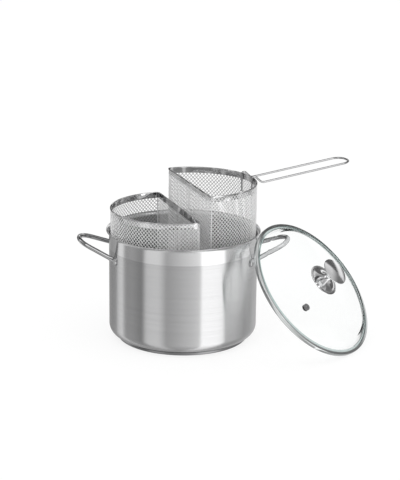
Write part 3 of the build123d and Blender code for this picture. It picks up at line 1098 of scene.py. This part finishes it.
@dataclass
class WireHandle:
    """The detachable handle: hooks over the rim, a dip outside it and a long rounded loop."""

    insert: Insert
    wire: float = 0.0033
    azimuth: float = 25.0
    hook_spacing: float = 0.0364
    hook_leg: float = 0.030
    hook_bend: float = 0.0024
    clearance: float = 0.0003
    overhang: float = 0.0013
    width: float = 0.0402
    dip_reach: float = 0.012
    dip_drop: float = 0.0085
    dip_bend: float = 0.010
    length: float = 0.171
    pitch: float = 6.7
    end_bend: float = 0.017
    bend_steps: int = 12
    sides: int = 16

    def build(self) -> None:
        """Build the handle as one bent wire."""
        insert = self.insert
        radius = self.wire / 2
        outline = insert.outline
        turn = math.radians(insert.turn)
        origin = Vector((outline.centre * math.cos(turn), outline.centre * math.sin(turn), insert.rim_height))
        placement = Matrix.Translation(origin) @ Matrix.Rotation(math.radians(self.azimuth), 4, "Z")
        half = self.hook_spacing / 2
        inner = outline.radius - insert.sheet - insert.strip
        hook_x = math.sqrt(inner ** 2 - (half + radius) ** 2) - radius - self.clearance
        over_x = math.sqrt((outline.radius + insert.strip) ** 2 - half ** 2) + self.overhang
        top = radius + self.clearance
        dip_x = outline.radius + self.dip_reach
        end_x = dip_x + self.length * math.cos(math.radians(self.pitch))
        end_z = self.length * math.sin(math.radians(self.pitch)) - self.dip_drop
        wide = self.width / 2
        corners = [Vector(c) for c in ((hook_x, half, -self.hook_leg), (hook_x, half, top),
                                       (over_x, half, top), (dip_x, wide, -self.dip_drop),
                                       (end_x, wide, end_z))]
        mirrored = [Vector((c.x, -c.y, c.z)) for c in corners]
        bends = [self.hook_bend, self.hook_bend, self.dip_bend, self.end_bend]
        path = round_corners(mirrored + corners[::-1], bends + bends[::-1], self.bend_steps)
        path = [placement @ p for p in path]
        normals = carried_normals(path, placement.to_3x3() @ Vector((1, 0, 0)))
        skin = Skin()
        skin.add(tube_rings(path, [(radius, radius)] * len(path), normals, self.sides))
        handle = skin.finish("wire_loop")
        dress(handle, insert.finishes.wire)
        place_piece(handle, "wire_handle", ["basket_handle"])


@dataclass
class Lid:
    """The glass lid that leans on the pot: band, domed glass, knob, washer, screw and vent.

    Outside clear_radius the glass has the darker look of its edge.
    """

    finishes: Finishes
    radius: float = 0.1221
    tilt: float = 41.7
    azimuth: float = -33.1
    centre_x: float = 0.2062
    centre_y: float = -0.0403
    band_height: float = 0.006
    band_wall: float = 0.0006
    band_lip: float = 0.0046
    band_round: float = 0.0012
    glass: float = 0.004
    edge_gap: float = 0.0003
    shoulder_radius: float = 0.1152
    dome_radius: float = 0.104
    dome_edge: float = 0.0166
    dome_height: float = 0.0306
    shoulder_round: float = 0.005
    clear_radius: float = 0.1125
    seat_gap: float = 0.0001
    segments: int = 192
    dome_steps: int = 28
    rim_steps: int = 10
    band_steps: int = 6
    body: str = "lid"

    def __post_init__(self) -> None:
        """Work out the lid's own axes and the dome's sphere."""
        tilt, azimuth = math.radians(self.tilt), math.radians(self.azimuth)
        flat = math.cos(tilt)
        axis = Vector((flat * math.cos(azimuth), flat * math.sin(azimuth), math.sin(tilt)))
        across = Vector((-math.sin(azimuth), math.cos(azimuth), 0))
        low = (self.radius - self.band_round) * flat + self.band_round * (1 - math.sin(tilt))
        turn = Matrix((across, axis.cross(across), axis)).transposed().to_4x4()
        self.placement = Matrix.Translation((self.centre_x, self.centre_y, low)) @ turn
        rise = self.dome_height - self.dome_edge
        self.sphere = (self.dome_radius ** 2 + rise ** 2) / (2 * rise)
        self.sphere_height = self.dome_height - self.sphere
        self.foot_base = self.dome_height + self.seat_gap

    def dome(self, radius: float) -> None:
        """Build the glass as one closed shell.

        Args:
            radius: The radius of the hole for the knob's screw.
        """
        half = math.degrees(math.asin(self.dome_radius / self.sphere))
        inner = self.sphere - self.glass
        centre = (0.0, self.sphere_height)
        edge = self.radius - self.band_wall - self.edge_gap
        low = (self.band_height - self.glass) / 2
        high = low + self.glass
        slope = math.atan2(self.dome_edge - high, self.shoulder_radius - self.dome_radius)
        shift = self.glass * math.tan(slope / 2)
        outer_start = math.degrees(math.acos(radius / self.sphere))
        inner_start = math.degrees(math.acos(radius / inner))
        outer_dome = arc(centre, self.sphere, outer_start, 90 - half, self.dome_steps)
        inner_dome = arc(centre, inner, 90 - half, inner_start, self.dome_steps)
        soft = [self.shoulder_round] * 2
        outer = rounded_profile(outer_dome[-2:] + [(self.shoulder_radius, high), (edge, high)], soft)
        shoulder = (self.shoulder_radius - shift, low)
        inner_line = rounded_profile([(edge, low), shoulder] + inner_dome[:2], soft)
        half_glass = self.glass / 2
        rim = arc((edge - half_glass, low + half_glass), half_glass, 90, -90, self.rim_steps)
        profile = outer_dome[:-2] + outer[:-1] + rim + inner_line[1:] + inner_dome[2:]
        dome = revolve("lid_dome", profile[::-1], self.segments, self.placement, closed=True)
        dress(dome, self.finishes.glass, self.finishes.glass_edge)
        inverse = self.placement.inverted()
        for face in dome.data.polygons:
            local = inverse @ face.center
            if math.hypot(local.x, local.y) > self.clear_radius:
                face.material_index = 1
        dome.visible_shadow = False
        place_piece(dome, self.body, ["lid_glass"])

    def band(self) -> None:
        """Build the rolled steel band round the glass."""
        r, w, h, lip = self.radius, self.band_wall, self.band_height, self.band_lip
        bend = self.band_round
        outer = arc((r - bend, bend), bend, -90, 0, self.band_steps)
        outer += arc((r - bend, h - bend), bend, 0, 90, self.band_steps)
        inner = [(r - lip, h), (r - lip, h - w), (r - w, h - w), (r - w, w), (r - lip, w)]
        profile = [(r - lip, 0.0)] + outer + inner
        band = revolve("lid_ring", profile, self.segments, self.placement, closed=True)
        dress(band, self.finishes.ring)
        place_piece(band, self.body, ["lid_band"])

    def build(self) -> None:
        """Build every piece of the lid."""
        knob = Knob(self)
        self.dome(knob.screw_hole / 2)
        self.band()
        knob.build()
        for name in ("knob_screw", "knob_washer", "vent_eyelet"):
            dress(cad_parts[name], self.finishes.fitting)


@dataclass
class Knob:
    """The lid's knob: a dished foot, a straight neck and a flared cap."""

    lid: Lid
    foot_radius: float = 0.027
    foot_edge: float = 0.0012
    foot_height: float = 0.008
    foot_dish: tuple[float, float] = (0.0145, 0.0029)
    neck_radius: float = 0.0068
    neck_length: float = 0.008
    cap_radius: float = 0.023
    cap_flare: float = 0.010
    cap_dish: tuple[float, float] = (0.0155, 0.0032)
    cap_edge: float = 0.0016
    cap_crown: float = 0.002
    crown_share: float = 0.98
    edge_round: float = 0.0004
    screw_hole: float = 0.0052
    dish_steps: int = 24
    crown_steps: int = 16
    segments: int = 96

    def dish(self, start: tuple[float, float], through: tuple[float, float],
             end: tuple[float, float]) -> Ring:
        """Return points of the arc through three places.

        Args:
            start: The arc's first point.
            through: A point on the way.
            end: The arc's last point.

        Returns:
            The arc's points.
        """
        (ax, ay), (bx, by), (cx, cy) = start, through, end
        d = 2 * (ax * (by - cy) + bx * (cy - ay) + cx * (ay - by))
        ux = ((ax**2 + ay**2) * (by - cy) + (bx**2 + by**2) * (cy - ay) + (cx**2 + cy**2) * (ay - by)) / d
        uy = ((ax**2 + ay**2) * (cx - bx) + (bx**2 + by**2) * (ax - cx) + (cx**2 + cy**2) * (bx - ax)) / d
        radius = math.hypot(ax - ux, ay - uy)
        first = math.degrees(math.atan2(ay - uy, ax - ux))
        last = math.degrees(math.atan2(cy - uy, cx - ux))
        if last - first > 180:
            last -= 360
        if first - last > 180:
            last += 360
        return arc((ux, uy), radius, first, last, self.dish_steps)

    def build(self) -> None:
        """Build the foot, neck and cap."""
        lid = self.lid
        hole = self.screw_hole / 2
        low = lid.foot_base
        top = low + self.foot_height
        soft = self.edge_round
        foot: Ring = [(hole, low), (self.foot_radius - soft, low)]
        foot += [(self.foot_radius, low + soft), (self.foot_radius, low + self.foot_edge - soft)]
        foot += self.dish((self.foot_radius - soft, low + self.foot_edge),
                          (self.foot_dish[0], low + self.foot_dish[1]), (self.neck_radius, top))
        foot += [(hole, top)]
        neck_top = top + self.neck_length
        neck = [(hole, top), (self.neck_radius, top), (self.neck_radius, neck_top), (hole, neck_top)]
        edge_low = neck_top + self.cap_flare
        edge_high = edge_low + self.cap_edge
        bow = (self.cap_radius ** 2 + self.cap_crown ** 2) / (2 * self.cap_crown)
        half = math.degrees(math.asin(self.cap_radius / bow))
        cap: Ring = [(0, neck_top)]
        cap += self.dish((self.neck_radius, neck_top), (self.cap_dish[0], edge_low - self.cap_dish[1]),
                         (self.cap_radius - soft, edge_low))
        cap += [(self.cap_radius, edge_low + soft), (self.cap_radius, edge_high - soft)]
        cap += arc((0, edge_high + self.cap_crown - bow), bow, 90 - half * self.crown_share, 90,
                   self.crown_steps)
        for name, profile, node in (("knob_dish", foot, "knob_foot"), ("knob_stem", neck, "knob_neck"),
                                    ("knob_top", cap, "knob_cap")):
            piece = revolve(name, profile, self.segments, lid.placement, closed=name != "knob_top")
            dress(piece, lid.finishes.knob)
            place_piece(piece, lid.body, [node])


# Studio


@dataclass(frozen=True)
class Lamp:
    """A square area lamp."""

    name: str
    place: tuple[float, float, float]
    power: float


@dataclass
class Studio:
    """Camera, floor, world and lamps.

    The room is seen in reflections alone: panels are its brightness round the pot, front_levels and
    rear_levels its change with height before and behind the flag's edge, and the glow a patch of light
    low on the right.
    """

    eye: tuple[float, float, float] = (0.0, -2.3844, 0.8414)
    elevation: float = 17.49
    roll: float = 0.52
    focal_px: float = 1522.69
    frame_px: tuple[int, int] = (400, 480)
    aim_px: tuple[float, float] = (182.96, 281.61)
    sensor: float = 36.0
    clip_end: float = 20.0
    table_half: float = 6.0
    table_glow: float = 0.8
    table_white: float = 1.02
    world_level: float = 0.95
    room_level: float = 2.0
    flag_edge: float = 0.50
    flag_blur: float = 0.02
    panels: Pairs = ((-180, 0.23), (-146, 0.16), (-126, 0.21), (-118, 0.38), (-108, 0.40), (-101, 0.15),
                     (-86, 0.18), (-66, 0.12), (-59, 0.37), (-38, 0.37), (-29, 0.26), (-26, 0.20), (27, 0.29),
                     (30, 0.60), (66, 0.60), (70, 0.19), (112, 0.16), (140, 0.28))
    front_levels: Pairs = ((-1.0, 0.9), (-0.8, 1.0), (-0.42, 1.15), (-0.2, 1.15), (-0.05, 0.8), (0.1, 0.45),
                           (0.38, 0.5), (0.5, 1.8), (0.6, 1.8), (0.7, 1.1), (0.85, 0.8), (1.0, 0.4))
    rear_levels: Pairs = ((-1.0, 0.9), (-0.8, 1.0), (-0.42, 1.15), (-0.22, 1.1), (-0.14, 0.25), (0.2, 0.25),
                          (0.25, 1.9), (0.33, 1.9), (0.37, 0.25), (0.9, 0.15))
    glow_levels: Pairs = ((-0.5, 0.0), (-0.38, 1.0), (-0.24, 1.0), (-0.12, 0.0))
    glow_turns: Pairs = ((-28, 0.0), (27, 0.29), (72, 0.18), (112, 0.0))
    lamp_list: tuple[Lamp, ...] = (Lamp("key_lamp", (-0.9, -1.0, 1.9), 4.0),
                                   Lamp("fill_lamp", (1.3, -0.6, 1.6), 2.5))
    lamp_size: float = 1.2
    lamp_aim: tuple[float, float, float] = (0.0, 0.0, 0.1)

    def camera(self) -> None:
        """Make the camera at the photograph's place, with its turn and field of view."""
        e, r = math.radians(self.elevation), math.radians(self.roll)
        ahead = Vector((0, math.cos(e), -math.sin(e)))
        level = Vector((1, 0, 0))
        above = level.cross(ahead)
        right = level * math.cos(r) + above * math.sin(r)
        up = above * math.cos(r) - level * math.sin(r)
        shift_x = self.frame_px[0] / 2 - self.aim_px[0]
        shift_y = self.aim_px[1] - self.frame_px[1] / 2
        view = (ahead + right * (shift_x / self.focal_px) + up * (shift_y / self.focal_px)).normalized()
        right = (right - view * right.dot(view)).normalized()
        up = right.cross(view)
        data = bpy.data.cameras.new("camera")
        data.sensor_width = self.sensor
        data.lens = self.focal_px * self.sensor / max(self.frame_px)
        data.clip_end = self.clip_end
        cam = bpy.data.objects.new("camera", data)
        cam.matrix_world = Matrix.Translation(self.eye) @ Matrix((right, up, -view)).transposed().to_4x4()
        bpy.context.scene.collection.objects.link(cam)
        bpy.context.scene.camera = cam

    def floor(self) -> None:
        """Make the white table, which only keeps the object's shadow."""
        size = self.table_half
        verts = [(-size, -size, 0), (size, -size, 0), (size, size, 0), (-size, size, 0)]
        floor = make_object("table", verts, [(0, 1, 2, 3)])
        material, tree, shader = node_tree("white_table")
        shader.inputs["Base Color"].default_value = WHITE
        shader.inputs["Roughness"].default_value = 1.0
        shader.inputs["Specular IOR Level"].default_value = 0.0
        seen = seen_rays(tree)[1]
        share = add_node(tree, "Math", operation="MULTIPLY")
        share.inputs[1].default_value = self.table_glow
        join(tree, seen, "Value", share, 0)
        glow = add_node(tree, "Emission", color=WHITE, strength=self.table_white)
        mixed = add_node(tree, "MixShader")
        join(tree, share, "Value", mixed, 0)
        join(tree, shader, "BSDF", mixed, 1)
        join(tree, glow, "Emission", mixed, 2)
        join(tree, mixed, "Shader", tree.nodes["Material Output"], "Surface")
        dress(floor, material)
        floor.visible_glossy = False

    def world(self) -> None:
        """Make the white room with its grey panels, which only reflections show."""
        world = bpy.data.worlds.new("studio")
        world.use_nodes = True
        tree = world.node_tree
        tree.nodes.clear()
        place = add_node(tree, "TexCoord")
        parts = add_node(tree, "SeparateXYZ")
        join(tree, place, "Generated", parts, "Vector")
        flip = add_node(tree, "Math", operation="MULTIPLY")
        flip.inputs[1].default_value = -1.0
        join(tree, parts, "Y", flip, 0)
        turn = add_node(tree, "Math", operation="ARCTAN2")
        join(tree, parts, "X", turn, 0)
        join(tree, flip, "Value", turn, 1)
        way = ranged(tree, turn, "Value", -math.pi, math.pi)
        lift = ranged(tree, parts, "Z", -1.0, 1.0)
        behind = ranged(tree, parts, "Y", self.flag_edge, self.flag_edge + self.flag_blur)
        panels, glow_way = (ramped(tree, way, self.turn_stops(s)) for s in (self.panels, self.glow_turns))
        front, rear, glow = (ramped(tree, lift, self.height_stops(s))
                             for s in (self.front_levels, self.rear_levels, self.glow_levels))
        levels = blended(tree, "MIX", front, rear)
        join(tree, behind, "Result", levels, "Factor")
        patch = blended(tree, "MULTIPLY", glow_way, glow)
        room = blended(tree, "ADD", blended(tree, "MULTIPLY", panels, levels), patch)
        reflected = add_node(tree, "Background", strength=self.room_level)
        join(tree, room, "Result", reflected, "Color")
        plain = add_node(tree, "Background", color=WHITE, strength=self.world_level)
        white = add_node(tree, "Background", color=WHITE, strength=1.0)
        path, seen = seen_rays(tree)
        first = add_node(tree, "MixShader")
        join(tree, path, "Is Glossy Ray", first, 0)
        join(tree, plain, "Background", first, 1)
        join(tree, reflected, "Background", first, 2)
        second = add_node(tree, "MixShader")
        join(tree, seen, "Value", second, 0)
        join(tree, first, "Shader", second, 1)
        join(tree, white, "Background", second, 2)
        out = add_node(tree, "OutputWorld")
        join(tree, second, "Shader", out, "Surface")
        bpy.context.scene.world = world

    @staticmethod
    def turn_stops(stops: Pairs) -> Ring:
        """Return a ramp's stops from pairs of azimuth, in degrees with zero towards the camera, and level."""
        return [((turn + 180) / 360, level) for turn, level in stops]

    @staticmethod
    def height_stops(stops: Pairs) -> Ring:
        """Return a ramp's stops from pairs of height, from minus one to one, and level."""
        return [((height + 1) / 2, level) for height, level in stops]

    def lamps(self) -> None:
        """Hang two soft lamps over the table."""
        for lamp in self.lamp_list:
            data = bpy.data.lights.new(lamp.name, "AREA")
            data.size = self.lamp_size
            data.energy = lamp.power
            obj = bpy.data.objects.new(lamp.name, data)
            obj.location = lamp.place
            obj.rotation_euler = (Vector(self.lamp_aim) - obj.location).to_track_quat("-Z", "Y").to_euler()
            bpy.context.scene.collection.objects.link(obj)

    def build(self) -> None:
        """Set up everything that isn't the object."""
        bpy.context.scene.view_settings.view_transform = "Standard"
        self.camera()
        self.floor()
        self.world()
        self.lamps()


def main() -> None:
    """Build the studio and dress the pot, its inserts, the wire handle and the lid."""
    logging.basicConfig(level=logging.INFO, format="%(name)s: %(message)s")
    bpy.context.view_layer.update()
    Studio().build()
    finishes = Finishes()
    Pot(finishes).build()
    Insert(finishes, Side.LEFT, rim_height=0.218).build()
    right = Insert(finishes, Side.RIGHT, rim_height=0.2585)
    right.build()
    WireHandle(right).build()
    Lid(finishes).build()


if __name__ == "__main__":
    main()
